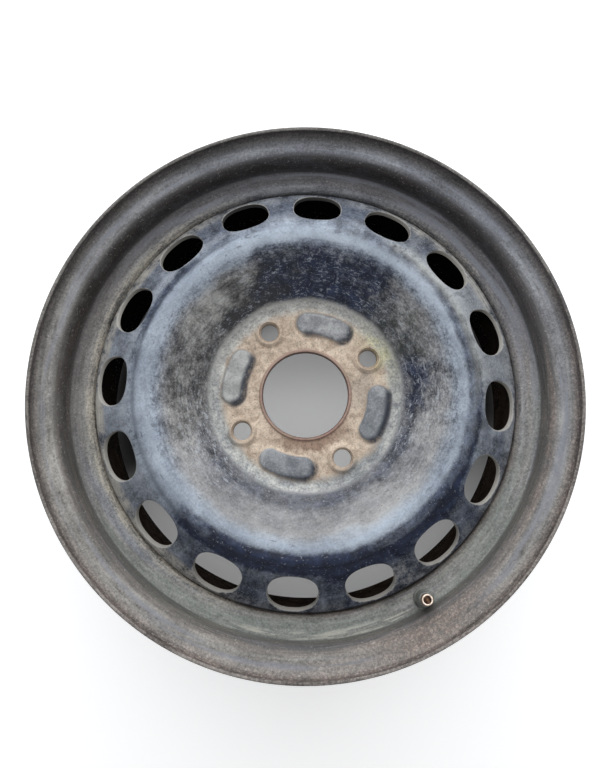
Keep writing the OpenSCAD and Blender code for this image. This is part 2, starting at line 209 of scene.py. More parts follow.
def read_vertices(mesh, key):
    """Three arrays with a vector of every vertex."""
    flat = np.empty(len(mesh.vertices) * 3, np.float32)
    mesh.vertices.foreach_get(key, flat)
    return flat.reshape(-1, 3).T


def mark(mesh, name, values):
    """Stores a number at every vertex for the materials."""
    layer = mesh.attributes.new(name, "FLOAT", "POINT")
    layer.data.foreach_set("value", values.astype(np.float32))


class Shell:
    """Collects the points, faces and wear values of one mesh."""

    def __init__(self):
        self.points = []
        self.wear = []
        self.faces = []
        self.count = 0

    def add(self, points, wear=0.0):
        """Adds an array of points and returns their indices in the same arrangement."""
        flat = np.asarray(points, float).reshape(-1, 3)
        ids = np.arange(self.count, self.count + len(flat)).reshape(np.shape(points)[:-1])
        self.points.append(flat)
        self.wear.append(np.full(len(flat), wear, float))
        self.count += len(flat)
        return ids

    def add_faces(self, corners, flip):
        """Faces from arrays of their first, second, third and perhaps fourth corners."""
        faces = np.stack(corners, 1)
        self.faces += (faces[:, ::-1] if flip else faces).tolist()

    def loft(self, rows, flip=False):
        """Quads between each two neighbours in a list of closed rows of indices."""
        for a, b in zip(rows[:-1], rows[1:]):
            self.add_faces((a, np.roll(a, -1), np.roll(b, -1), b), flip)

    def fan(self, row, point, flip=False):
        """Triangles from a closed row of indices to one point."""
        tip = self.add(point[None])[0]
        self.add_faces((row, np.roll(row, -1), np.full(len(row), tip)), flip)

    def build(self, name, sharp_angle):
        """The finished object, in metres, smooth shaded, with its faces turned outwards."""
        mesh = bpy.data.meshes.new(name)
        points = np.concatenate(self.points) * MM
        mesh.from_pydata(points.tolist(), [], self.faces)
        mark(mesh, "wear", np.concatenate(self.wear))
        mesh.validate()
        mesh.calc_loop_triangles()
        corners = np.empty(len(mesh.loop_triangles) * 3, np.int32)
        mesh.loop_triangles.foreach_get("vertices", corners)
        a, b, c = points[corners].reshape(-1, 3, 3).transpose(1, 0, 2)
        volume = np.sum(a * np.cross(b, c))
        if volume < 0:
            mesh.flip_normals()
        mesh.shade_smooth()
        mesh.set_sharp_from_angle(angle=math.radians(sharp_angle))
        return add_object(name, mesh)


class Hole:
    """A hole through a sheet; loops has the edge's (radius, rise, wear) for the front and the back."""

    def __init__(self, rows, columns, centre, along, across, loops, bands=4, power=2.0):
        self.rows, self.columns = rows, columns
        self.centre, self.along, self.across = centre, along, across
        self.axis = np.cross(along, across)
        self.loops, self.bands, self.power = loops, bands, power
        self.turns = None

    def border(self):
        """Rows and columns of the grid round the hole's rectangle, in order."""
        (r0, r1), (c0, c1) = self.rows, self.columns
        tall, wide = r1 - r0, c1 - c0
        return (np.r_[[r0] * wide, r0:r1, [r1] * wide, r1:r0:-1],
                np.r_[c0:c1, [c1] * tall, c1:c0:-1, [c0] * tall])

    def outline(self, radius):
        """Points of the hole's outline about its centre: a circle, or squarer with a power over 2."""
        c, s = np.cos(self.turns), np.sin(self.turns)
        reach = radius * (np.abs(c) ** self.power + np.abs(s) ** self.power) ** (-1 / self.power)
        return reach * c, reach * s

    def local(self, points):
        """Places of points along and across, from the hole's axis."""
        offset = points - self.centre
        return offset @ self.along, offset @ self.across

    def find(self, surface, s, angle, a, b):
        """Lengths and angles at which the surface lies a along and b across from the hole's axis."""
        step_s, step_t = 0.01, 1e-4
        for _ in range(12):
            fa, fb = self.local(surface(s, angle))
            sa, sb = self.local(surface(s + step_s, angle))
            ta, tb = self.local(surface(s, angle + step_t))
            j11, j21 = (sa - fa) / step_s, (sb - fb) / step_s
            j12, j22 = (ta - fa) / step_t, (tb - fb) / step_t
            det = j11 * j22 - j12 * j21
            ea, eb = a - fa, b - fb
            s = s + (ea * j22 - eb * j12) / det
            angle = angle + (eb * j11 - ea * j21) / det
        return s, angle


def skin(shell, surface, rows, holes, front):
    """One side of a sheet as quads, with a ring of quads about each hole; returns the grid's indices."""
    grid = shell.add(surface(rows[:, None], ANGLES[None, :]))
    taken = np.zeros((len(rows) - 1, COLUMNS), bool)
    for hole in holes:
        row, column = hole.border()
        s, angle = rows[row], column * FULL_TURN / COLUMNS
        if hole.turns is None:
            a, b = hole.local(surface(s, angle))
            hole.turns = np.arctan2(b, a)
        loops = []
        for radius, rise, wear in hole.loops[0 if front else 1]:
            hs, ha = hole.find(surface, s.mean(), angle.mean(), *hole.outline(radius))
            if not loops:
                gap_s, gap_a = hs - s, ha - angle
            loops.append(shell.add(surface(hs, ha) + rise * hole.axis, wear))
        bands = [grid[row, column % COLUMNS]]
        for k in range(1, hole.bands):
            share = 1 - (1 - k / hole.bands) ** 1.2
            bands.append(shell.add(surface(s + gap_s * share, angle + gap_a * share)))
        shell.loft(bands + loops, flip=not front)
        if front:
            hole.front_edge = loops[-1]
        else:
            shell.loft([hole.front_edge, loops[-1]])
        taken[slice(*hole.rows), np.arange(*hole.columns) % COLUMNS] = True
    r, c = np.nonzero(~taken)
    d = (c + 1) % COLUMNS
    shell.add_faces((grid[r, c], grid[r, d], grid[r + 1, d], grid[r + 1, c]), not front)
    return grid


def nearest(rows, value):
    return int(np.argmin(np.abs(rows - value)))


# Disc

def pad_distance(r, angle):
    """Distance from the middle line of the nearest raised pad."""
    quarter = math.pi / 2
    off = np.abs((angle % quarter) - quarter / 2)
    past = np.maximum(off - PAD_HALF_TURN, 0)
    return np.sqrt(np.maximum(r * r + BOLT_R ** 2 - 2 * r * BOLT_R * np.cos(past), 0))


def pad_rise(r, angle, half_width, height):
    """Height of the raised pads, with soft edges."""
    ease = 0.5
    reach = (half_width + ease - pad_distance(r, angle)) / (PAD_SLOPE + 2 * ease)
    return height * smooth(reach)


def lip_rise(r):
    """Height of the rolled lip around the centre bore."""
    inside = smooth((r - BORE_R) / 0.8) * 0.6 + 0.9
    outside = smooth((BORE_R + 2.9 - r) / 1.1) * BORE_LIP
    return np.minimum(inside, outside)


def hole_ring(count, first_turn, rows, half_columns, place, slope, loops, power=2.0):
    """Even ring of holes at place (radius, height), their outward direction tipped down by slope."""
    holes = []
    for i in range(count):
        turn = first_turn + i / count
        out, aside = directions(turn * FULL_TURN)
        down = out * math.cos(slope) - np.array([0, 0, math.sin(slope)])
        column = round(turn * COLUMNS)
        holes.append(Hole(rows, (column - half_columns, column + half_columns),
                          out * place[0] + [0, 0, place[1]], down, aside, loops, power=power))
    return holes


def bolt_holes(rows):
    """Holes of the wheel bolts, each with its conical seat on a raised boss."""
    front = [
        (12, 0, 0), (11.6, 0.08, 0), (11.1, 0.42, 0.1), (10.4, 1.15, 0.15), (9.8, 1.8, 0.3),
        (9.35, 2.2, 0.7), (8.9, 2.4, 0.8), (8.3, 2.42, 0.5), (7.85, 2.38, 0.9), (7.65, 2.2, 1),
        (7.1, 1.3, 0.6), (6.5, 0.32, 0.9), (6.5, 0, 0.8),
    ]
    back = [(7.4, 0, 0), (6.9, 0, 0.4), (6.5, 0.25, 0.9)]
    span = nearest(rows, 9), nearest(rows, 36.5)
    return hole_ring(BOLT_COUNT, 0, span, 13, (BOLT_R, DISC_SHEET), 0, (front, back))


def vent_holes(rows, s_ring, s_skirt):
    """Pierced vents in the sloped ring, which end where the skirt's bend starts."""
    bend = SKIRT_BEND * math.tan((math.pi / 2 - VENT_SLOPE) / 2)
    r = SKIRT_R - (bend + VENT_R) * math.cos(VENT_SLOPE)
    z = GROOVE_Z - (r - GROOVE_R) * math.tan(VENT_SLOPE)
    front = [
        (1.9, 0, 0), (1.3, 0, 0.2), (0.8, 0, 0.6), (0.4, -0.1, 0.9), (0.12, -0.35, 0.9),
        (0, -0.8, 1.6),
    ]
    back = [(1.8, 0, 0), (0.5, 0, 0.9), (0, 0.25, 1.6)]
    loops = [[(VENT_R + out, rise, wear) for out, rise, wear in side] for side in (front, back)]
    span = nearest(rows, s_ring), nearest(rows, s_skirt)
    half_columns = COLUMNS // VENT_COUNT // 2
    return hole_ring(VENT_COUNT, 0.5 / VENT_COUNT, span, half_columns, (r, z), VENT_SLOPE,
                     loops, VENT_POWER)


def make_disc():
    """The pressed disc: hub with pads and seats, bowl, crest, ring of vents and skirt."""
    profile = Profile(rounded_path([
        (BORE_R, DISC_SHEET, 0),
        (HUB_R, DISC_SHEET, 10),
        (CREST_END_R - CREST_WIDTH, CREST_Z, 16),
        (CREST_END_R, CREST_Z, 8),
        (GROOVE_R, GROOVE_Z, 2),
        (SKIRT_R, SKIRT_CORNER_Z, SKIRT_BEND),
        (SKIRT_R, SKIRT_END_Z, 0),
    ], 10))

    def face(s, angle):
        r, z = profile.at(s)
        rise = pad_rise(r, angle, PAD_HALF_WIDTH, PAD_HEIGHT) + lip_rise(r)
        return around(np.minimum(r, SKIRT_R - SKIRT_GAP), z + np.where(r < HUB_R + 3, rise, 0), angle)

    def back(s, angle):
        r, z = profile.at(s, DISC_SHEET)
        hollow = pad_rise(r, angle, PAD_HALF_WIDTH - PAD_SLOPE, PAD_HEIGHT - 0.4)
        return around(r, z + np.where(r < HUB_R, hollow, 0), angle)

    s_hub, s_ring = np.interp((HUB_R + 3, GROOVE_R + 0.9), profile.points[:, 0], profile.s)
    s_skirt = profile.s[-1] - 24.4
    rows = np.concatenate([
        [0, 0.3, 0.6, 0.9, 1.3, 1.8, 2.1, 2.4, 2.7, 3.0],
        np.arange(3.7, s_hub - 0.3, 0.8),
        profile.rows(s_hub, s_ring, 2.6),
        profile.rows(s_ring, s_skirt, 3.0)[1:],
        profile.rows(s_skirt, profile.s[-1], 5.0)[1:],
    ])
    holes = bolt_holes(rows) + vent_holes(rows, s_ring, s_skirt)

    shell = Shell()
    front = skin(shell, face, rows, holes, True)
    rear = skin(shell, back, rows, holes, False)
    # The bore's wall and the skirt's end
    wall = [(BORE_R, DISC_SHEET - 0.6), (BORE_R, 0.5), (BORE_R + 0.15, 0.15)]
    loops = [front[0]] + [shell.add(around(r, z, ANGLES), 0.5) for r, z in wall] + [rear[0]]
    shell.loft(loops, flip=True)
    tip = shell.add(around(SKIRT_R - DISC_SHEET / 2, SKIRT_END_Z, ANGLES))
    shell.loft([front[-1], tip, rear[-1]])
    return shell.build("disc_sheet", 40)


def mark_pads(mesh):
    """Stores how far each point stands on a pad, and whether it is on the pad's lower side, where shade
    is painted.
    """
    x, y, z = read_vertices(mesh, "co") / MM
    r, angle = np.hypot(x, y), np.arctan2(y, x)
    share = pad_rise(r, angle, PAD_HALF_WIDTH, 1.0) * (r < HUB_R) * (z > DISC_SHEET - 0.2)
    mark(mesh, "pads", share)
    away, step = pad_distance(r, angle), 0.01
    low = PHOTO_UP - math.radians(PAD_SHADE_CLOCK)
    low_x, low_y = x + step * math.cos(low), y + step * math.sin(low)
    slope = (pad_distance(np.hypot(low_x, low_y), np.arctan2(low_y, low_x)) - away) / step
    facing = smooth(slope / 0.8)
    band = smooth((away - PAD_HALF_WIDTH + 5.5) / 3) * smooth((PAD_HALF_WIDTH + 2.4 - away) / 2)
    mark(mesh, "pad_shade_side", facing * band * (r < HUB_R + 4))


# Rim and welds

def rim_side(foot_depth, foot_rounding):
    """One side of the rim's tyre face as (radius, distance from that side's lip), lip first."""
    lip_angle = math.asin((FLANGE_WIDTH - FLANGE_CURL) / FLANGE_CURL)
    turn = np.linspace(-lip_angle, math.pi / 2, 15)
    centre_r = HEEL_R + FLANGE_HEIGHT - FLANGE_CURL
    curl = np.stack([centre_r + FLANGE_CURL * np.cos(turn),
                     FLANGE_WIDTH - FLANGE_CURL + FLANGE_CURL * np.sin(turn)], 1)
    rest = rounded_path([
        (centre_r, FLANGE_WIDTH, 0),
        (HEEL_R, FLANGE_WIDTH, 6.5),
        (SEAT_END_R, FLANGE_WIDTH + SEAT_WIDTH, 6),
        (HUMP_R, HUMP_DEPTH, 4),
        (WELL_R, foot_depth, foot_rounding),
        (WELL_R, foot_depth + WELL_WIDTH / 2, 0),
    ], 7)
    return np.concatenate([curl, rest])


def wall_depth(r):
    """Distance from the street-side lip at which the well's wall reaches radius r on its tyre face."""
    return HUMP_DEPTH + (HUMP_R - r) * math.tan(WALL_LEAN)


def rim_profile():
    street_foot = wall_depth(WELL_R)
    street = rim_side(street_foot, 6) * [1, -1] + [0, LIP_Z]
    brake = rim_side(LIP_Z - street_foot - WELL_WIDTH - BACK_LIP_Z, 12) + [0, BACK_LIP_Z]
    return Profile(np.concatenate([street, brake[::-1]]))


def valve_frame():
    """Foot of the valve's axis on the well's street-side wall, and its three directions."""
    out, aside = directions(VALVE_ANGLE)
    axis = -out * math.sin(WALL_LEAN) + np.array([0, 0, math.cos(WALL_LEAN)])
    depth = wall_depth(VALVE_R) - RIM_SHEET / math.cos(WALL_LEAN)
    foot = out * VALVE_R + np.array([0, 0, LIP_Z - depth])
    return foot, np.cross(aside, axis), aside, axis


def make_rim():
    """The rolled rim strip, with the valve's hole through the well's street-side wall."""
    profile = rim_profile()
    rows = profile.rows(EDGE_ROUND, profile.s[-1] - EDGE_ROUND, 4.5)
    foot, inward, aside = valve_frame()[:3]
    # The rows round the valve's hole run from the end of the seat to the well's floor
    radii, heights = profile.at(rows)
    first = int(np.argmax((heights < LIP_Z - 24) & (radii < 176.3))) - 1
    last = int(np.argmax(radii < WELL_R + 0.2)) + 1
    column = round(VALVE_ANGLE / FULL_TURN * COLUMNS)
    loops = [(VALVE_HOLE_R + 0.3, 0.0, 0.0), (VALVE_HOLE_R, 0.0, 0.3)]
    hole = Hole((first, last), (column - 3, column + 3), foot, -inward, aside, (loops, loops), 2)

    shell = Shell()
    front = skin(shell, lambda s, angle: around(*profile.at(s), angle), rows, [hole], True)
    rear = skin(shell, lambda s, angle: around(*profile.at(s, RIM_SHEET), angle), rows, [hole], False)
    for end in (0, -1):
        loops = [front[end]]
        for share in (0.06, 0.25, 0.5, 0.75, 0.94):
            inset = EDGE_ROUND * (1 - math.sqrt(1 - (2 * share - 1) ** 2))
            spot = inset if end == 0 else profile.s[-1] - inset
            r, z = profile.at(spot, RIM_SHEET * share)
            loops.append(shell.add(around(r, z, ANGLES), 1.0))
        shell.loft(loops + [rear[end]], flip=end == 0)
    return shell.build("rim_sheet", 40)


def mark_street_side(mesh):
    """Marks the face that looks to the axis, where the barrel behind the disc takes the dark brown with
    painted shade.
    """
    x, y = read_vertices(mesh, "co")[:2] / MM
    nx, ny = read_vertices(mesh, "normal")[:2]
    inward = -(nx * x + ny * y) / np.maximum(np.hypot(x, y), 1)
    mark(mesh, "street", inward > 0.05)


def make_welds():
    """Weld runs in the corner between the skirt's end and the rim, rippled and tapered at both ends."""
    shell = Shell()
    runs, span, steps, corners = 8, math.radians(20), 64, 9
    quarter = np.linspace(0, math.pi / 2, corners + 1)
    sink = 0.35
    for i in range(runs):
        phase = rng.random() * 6
        rows = []
        for k in range(steps + 1):
            share = k / steps
            taper = (1 - abs(2 * share - 1) ** 8) ** 0.5 * 0.75 + 0.25
            ripple = 1 + 0.05 * math.sin(k * 2.1 + phase) + 0.05 * math.sin(k * 0.37 + phase)
            size = taper * min(ripple, 1.06)
            bead_r = SKIRT_R - 3.1 * size * np.cos(quarter)
            bead_z = SKIRT_END_Z - 3.9 * size * np.sin(quarter)
            r = np.concatenate([bead_r, [SKIRT_R + sink, SKIRT_R + sink, SKIRT_R - 2]])
            z = np.concatenate([bead_z, [SKIRT_END_Z - 2, SKIRT_END_Z + sink, SKIRT_END_Z + sink]])
            angle = i * FULL_TURN / runs + (share - 0.5) * span
            rows.append(shell.add(around(r, z, angle), 0.5))
        shell.loft(rows, flip=True)
        for end in (0, -1):
            points = np.concatenate(shell.points)[rows[end]]
            shell.fan(rows[end], points.mean(0), flip=end == -1)
    return shell.build("weld_runs", 60)


# Valve

def turned(name, rows, sharp_angle):
    """Closed section turned about the valve's axis, from rows (radius, height along it, wear if any)."""
    foot, inward, aside, axis = valve_frame()
    spoke = np.cos(VALVE_TURNS)[:, None] * inward + np.sin(VALVE_TURNS)[:, None] * aside
    shell = Shell()
    ids = []
    for r, w, *wear in rows:
        reach = np.broadcast_to(r, VALVE_TURNS.shape)[:, None]
        ids.append(shell.add(foot + reach * spoke + w * axis, *wear))
    shell.loft(ids + [ids[0]], flip=True)
    return shell.build(name, sharp_angle)


def make_valve_rubber():
    """Rubber body: head in the tyre space, neck through the strip, shoulder and tapered sleeve."""
    head = rounded_path([
        (3.7, -10.9, 0), (6.4, -10.9, 1.2), (9.1, -6.7, 1.5), (9.1, -2.2, 0.5), (5.6, -1.6, 0),
    ], 5)
    street = rounded_path([
        (5.6, -0.8, 0), (7.55, -0.3, 0), (7.55, 2.0, 0.8), (6.2, 3.3, 1.6), (5.5, 11.8, 20),
        (4.7, 20.9, 0.9), (3.85, 21.9, 0),
    ], 5)
    inner = [(3.15, 20.5), (3.15, -8.5)]
    return turned("valve_body", [*head, *street, *inner], 35)


def groove_at(w, pitch, hand):
    """Depth of a thread's groove round the valve at height w, from 0 to 1."""
    phase = (w / pitch - hand * VALVE_TURNS / FULL_TURN) % 1
    return np.clip((0.5 - np.abs(phase - 0.5)) * 2.4, 0, 1)


def make_valve_stem():
    """Brass stem with its outer thread cut as a helix, a bevelled mouth and the bore for the core."""
    low, high = THREAD_LOW, THREAD_HIGH
    rows = [(3.88, -11), (3.88, -10), (3.2, -8.8), (3.2, low - 1.2), (3.4, low - 0.2)]
    outer_rows, inner_rows = 130, 40
    for k in range(outer_rows + 1):
        w = low + (high - low) * k / outer_rows
        fade = min(1, (w - low) / 0.6, (high - w) / 0.5)
        rows.append((THREAD_R - THREAD_DEPTH * groove_at(w, THREAD_PITCH, 1) * fade, w))
    rows += [(3.72, 31.15, 1), (3.4, MOUTH - 0.02, 1), (3.3, MOUTH, 1), (3.0, MOUTH, 1)]
    rows += [(2.72, MOUTH - 0.25, 1), (2.64, MOUTH - 0.4, 0.8), (2.62, MOUTH - 0.65, 0)]
    for k in range(inner_rows + 1):
        w = MOUTH - 0.75 - 7.5 * k / inner_rows
        rows.append((2.6 + 0.12 * groove_at(w, CORE_PITCH, -1), w))
    rows += [(2.6, 22.8), (1.95, 21.2), (1.95, -11)]
    return turned("valve_tube", rows, 50)


def make_spring():
    """A copy of the solid's spring as a piece of its own."""
    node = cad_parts["core_spring"]
    spring = add_object("spring_coil", node.data.copy())
    spring.matrix_world = node.matrix_world
    return spring


def press_spring(spring):
    """Gives the spring its own copy of the mesh; the coils are left as they are."""
    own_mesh(spring)


# Materials

def srgb(*screen):
    """Linear colour from three screen values of 0 to 255."""
    parts = [v / 255 for v in screen]
    return (*(v / 12.92 if v <= 0.04045 else ((v + 0.055) / 1.055) ** 2.4 for v in parts), 1)


class Value:
    """An output of a shader node; plain arithmetic on it adds further nodes."""

    def __init__(self, graph, socket):
        self.graph, self.socket = graph, socket

    def __add__(self, other):
        return self.graph.math("ADD", self, other)

    def __sub__(self, other):
        return self.graph.math("SUBTRACT", self, other)

    def __rsub__(self, other):
        return self.graph.math("SUBTRACT", other, self)

    def __mul__(self, other):
        return self.graph.math("MULTIPLY", self, other)

    def __truediv__(self, other):
        return self.graph.math("DIVIDE", self, other)

    __radd__ = __add__
    __rmul__ = __mul__


class Graph:
    """A tree of shader nodes under construction."""

    def __init__(self, tree):
        self.tree = tree
        tree.nodes.clear()

    def plug(self, socket, value):
        """Links a value, or sets a number or colour; three numbers are a colour in screen values."""
        if isinstance(value, Value):
            self.tree.links.new(value.socket, socket)
        elif isinstance(value, tuple) and len(value) == 3:
            socket.default_value = srgb(*value)
        else:
            socket.default_value = value

    def node(self, kind, inputs=(), output=0, **settings):
        """Adds a node, with its inputs in order or by key, and returns one of its outputs."""
        node = self.tree.nodes.new(kind)
        for key, value in settings.items():
            setattr(node, key, value)
        for key, value in inputs.items() if isinstance(inputs, dict) else enumerate(inputs):
            self.plug(node.inputs[key], value)
        return Value(self, node.outputs[output])

    def end(self, kind, value):
        """Closes the tree with its output node."""
        self.plug(self.tree.nodes.new(kind).inputs[0], value)

    def math(self, operation, *values):
        return self.node("ShaderNodeMath", values, operation=operation)

    def most(self, *values):
        total = values[0]
        for value in values[1:]:
            total = self.math("MAXIMUM", total, value)
        return total

    def seen(self):
        """1 for the camera, reflections and refractions, and 0 for light on other surfaces."""
        path = self.node("ShaderNodeLightPath").socket.node.outputs
        rays = "Is Camera Ray", "Is Glossy Ray", "Is Transmission Ray"
        return self.most(*(Value(self, path[ray]) for ray in rays))


class Paint(Graph):
    """A material under construction, with the place of each point in millimetres."""

    def __init__(self, name):
        self.material = bpy.data.materials.new(name)
        self.material.use_nodes = True
        super().__init__(self.material.node_tree)
        surface = self.node("ShaderNodeBsdfPrincipled")
        self.shader = surface.socket.node
        self.end("ShaderNodeOutputMaterial", surface)
        metres = self.node("ShaderNodeTexCoord", output="Object")
        self.place = self.node("ShaderNodeVectorMath", {0: metres, "Scale": 1 / MM}, operation="SCALE")
        split = self.node("ShaderNodeSeparateXYZ", (self.place,))
        self.x, self.y, self.z = (Value(self, part) for part in split.socket.node.outputs)
        self.r = self.math("SQRT", self.x * self.x + self.y * self.y)
        self.clock = self.math("DEGREES", PHOTO_UP - self.math("ARCTAN2", self.y, self.x))
        self.wear = self.stored("wear")

    def stored(self, name):
        """Number that the mesh holds at each vertex under this name."""
        return self.node("ShaderNodeAttribute", output="Fac", attribute_name=name)

    def ramp(self, value, low, high, out_low=0.0, out_high=1.0):
        """Smooth step of value from low to high, which may run either way."""
        return self.node("ShaderNodeMapRange", (value, low, high, out_low, out_high),
                         interpolation_type="SMOOTHSTEP")

    def ring(self, low, high, soft, value=None):
        """1 where the radius, or another value, lies from low to high."""
        value = value or self.r
        return self.ramp(value, low - soft, low + soft) * self.ramp(value, high + soft, high - soft)

    def sector(self, centre, half, soft, clock=None):
        """1 where the clock angle lies within half of centre."""
        turned = (clock or self.clock) + (900 - centre)
        off = self.math("ABSOLUTE", self.math("MODULO", turned, 360.0) - 180.0)
        return self.ramp(off, half + soft, max(half - soft, 0))

    def bend(self, size, degrees, millimetres):
        """Bends the coordinates that patches use, so that their borders wander."""
        turn, out = (self.noise(size, 3, 0.5, 0, shift) for shift in (51, 87))
        self.bent_clock = self.clock + self.swing(turn, degrees)
        self.bent_r = self.r + self.swing(out, millimetres) * self.ramp(self.r, 98, 110, 1.0, 0.3)

    def patch(self, clock, half, soft, low, high, edge):
        """1 within half of a clock angle and between two radii, with wandering borders."""
        return self.sector(clock, half, soft, self.bent_clock) * self.ring(low, high, edge, self.bent_r)

    def swing(self, noise, amount):
        """Noise made to swing about zero, amount from end to end."""
        return self.math("MULTIPLY_ADD", noise, amount, -amount / 2)

    def shade(self, colour, *parts):
        """Colour made lighter and darker by noises, each given as (noise, amount)."""
        factor = 1.0
        for noise, amount in parts:
            factor = factor + self.swing(noise, amount)
        return self.node("ShaderNodeVectorMath", {0: colour, "Scale": factor}, operation="SCALE")

    def shifted(self, place, *shift):
        return self.node("ShaderNodeMapping", {"Vector": place, "Location": Vector(shift)})

    def noise(self, size, detail=5, rough=0.55, warp=0.0, shift=0.0, place=None):
        """Fractal noise whose largest features are about size millimetres."""
        place = place or self.place
        if shift:
            place = self.shifted(place, shift, shift * 0.7, -shift)
        return self.node("ShaderNodeTexNoise", {"Vector": place, "Scale": 1 / size, "Detail": detail,
                                                "Roughness": rough, "Distortion": warp}, "Fac")

    def flecks(self, size, rarity, shift, place=None):
        """Small irregular chips, about size millimetres long."""
        return self.ramp(self.noise(size, 3, 0.65, 0.6, shift, place), rarity, rarity + 0.035)

    def specks(self, size, share, shift):
        """Small round spots, about size millimetres apart; share sets how large they are."""
        place = self.shifted(self.place, shift, shift, shift)
        distance = self.node("ShaderNodeTexVoronoi", {"Vector": place, "Scale": 1 / size}, "Distance")
        return self.ramp(distance, share, share * 0.4)

    def along(self, circle):
        """Coordinates pulled onto a circle, so that noise runs in streaks round the wheel."""
        reach = self.math("MAXIMUM", self.r, 1.0)
        place = self.x / reach * circle, self.y / reach * circle, self.z * 1.3 + self.r
        return self.node("ShaderNodeCombineXYZ", place)

    def mix(self, share, a, b):
        """Colour a, with b laid over it by share."""
        return self.node("ShaderNodeMix", {"Factor": share, 6: a, 7: b}, 2, data_type="RGBA")

    def layers(self, colour, *coats):
        """Colour with further ones laid over it, each given as (share, colour)."""
        for share, tone in coats:
            colour = self.mix(share, colour, tone)
        return colour

    def tones(self, noise, a, b, low=0.4, high=0.6):
        """Colour a where the noise is low, and b where it is high."""
        return self.mix(self.ramp(noise, low, high), a, b)

    def level(self, share, a, b):
        """Number a, or b by share."""
        return self.node("ShaderNodeMix", {"Factor": share, 2: a, 3: b}, data_type="FLOAT")

    def join(self, inputs):
        for name, value in inputs.items():
            self.plug(self.shader.inputs[name], value)

    def finish(self, colour, roughness, height, distance, metallic=0.0, specular=0.5):
        """Joins everything to the shader; height is in units of distance millimetres."""
        # A dull level stands by for wherever the varying one isn't read
        self.shader.inputs["Specular IOR Level"].default_value = 0.18
        bump = {"Strength": 1.0, "Distance": distance * MM, "Height": height}
        self.join({"Base Color": colour, "Roughness": roughness, "Metallic": metallic,
                   "Specular IOR Level": specular, "Normal": self.node("ShaderNodeBump", bump)})
        return self.material


# How much thicker a patch makes the chalky film on the disc, and the patch; some patches paint a
# highlight along the crest and shade below it
FILM_AND_PAINTED_LIGHT_PATCHES = (
    # dark upper bowl, darkest near the hub, with a paler spot on its left
    (-0.50, 4, 33, 12, 72, 97, 6),
    (-0.34, 4, 34, 14, 94, 107, 5),
    (-0.26, 52, 14, 10, 76, 92, 4),
    (-0.34, 76, 9, 6, 78, 91, 3),
    (-0.15, 78, 10, 7, 91, 103, 4),
    (-0.34, 318, 10, 8, 70, 82, 3),
    (0.26, 325, 14, 8, 92, 107, 5),
    # duller band round the hub, and spots at the sides of the bowl
    (-0.27, 0, 200, 1, 68, 83, 5),
    (-0.12, 98, 10, 8, 76, 84, 4),
    (0.19, 108, 10, 8, 82, 100, 4),
    (-0.15, 284, 14, 10, 89, 103, 5),
    (-0.08, 262, 14, 10, 92, 108, 5),
    (-0.15, 228, 9, 7, 80, 89, 3),
    (-0.14, 100, 34, 14, 78, 97, 5),
    # film in the lower bowl, with a painted highlight spot, and a painted highlight band along the crest
    (-0.08, 190, 70, 20, 76, 98, 6),
    (0.10, 178, 62, 22, 95, 109, 4),
    (0.23, 152, 9, 7, 100, 109, 3),
    (0.24, 5, 50, 20, 109, 116, 2.5),
    (0.20, 240, 16, 10, 108, 113, 2),
    # bare paint outside the crest, as painted shade on its lower outer slope, with two fuller spots on
    # the right
    (-0.42, 170, 54, 12, 112, 126, 2),
    (-0.24, 186, 26, 10, 109.5, 122, 2),
    (-0.42, 86, 32, 12, 113.5, 125, 2),
    (-0.20, 308, 22, 12, 119, 126, 2.5),
    (-0.24, 26, 12, 9, 113, 123, 3),
    (-0.22, 46, 12, 8, 115, 123, 3),
    (-0.12, 288, 26, 14, 119, 127, 3),
    (0.12, 78, 14, 8, 116, 125, 3),
    (0.14, 104, 12, 8, 114, 125, 3),
    # thinner film on the ring of vents, and fuller spots beside the groove
    (-0.12, 338, 42, 20, 121, 160, 3),
    (-0.30, 150, 24, 9, 121, 131, 3),
    (-0.26, 160, 60, 18, 121, 160, 3),
    (-0.07, 0, 200, 1, 129, 160, 3),
    (-0.16, 12, 36, 12, 133, 148, 4),
    (-0.10, 302, 20, 12, 133, 148, 4),
    (0.14, 300, 40, 16, 127, 134, 3),
    (0.27, 62, 18, 10, 120, 134, 3),
)


def brown_with_painted_shade(p, noise):
    """Dull dark brown of the wheel's inside, partly painted shade, darkest at the top."""
    light = p.tones(noise, (60, 52, 47), (78, 68, 61), 0.38, 0.62)
    # Painted shade makes the inside darkest at the top
    return p.mix(p.sector(350, 90, 30), light, (24, 21, 20))


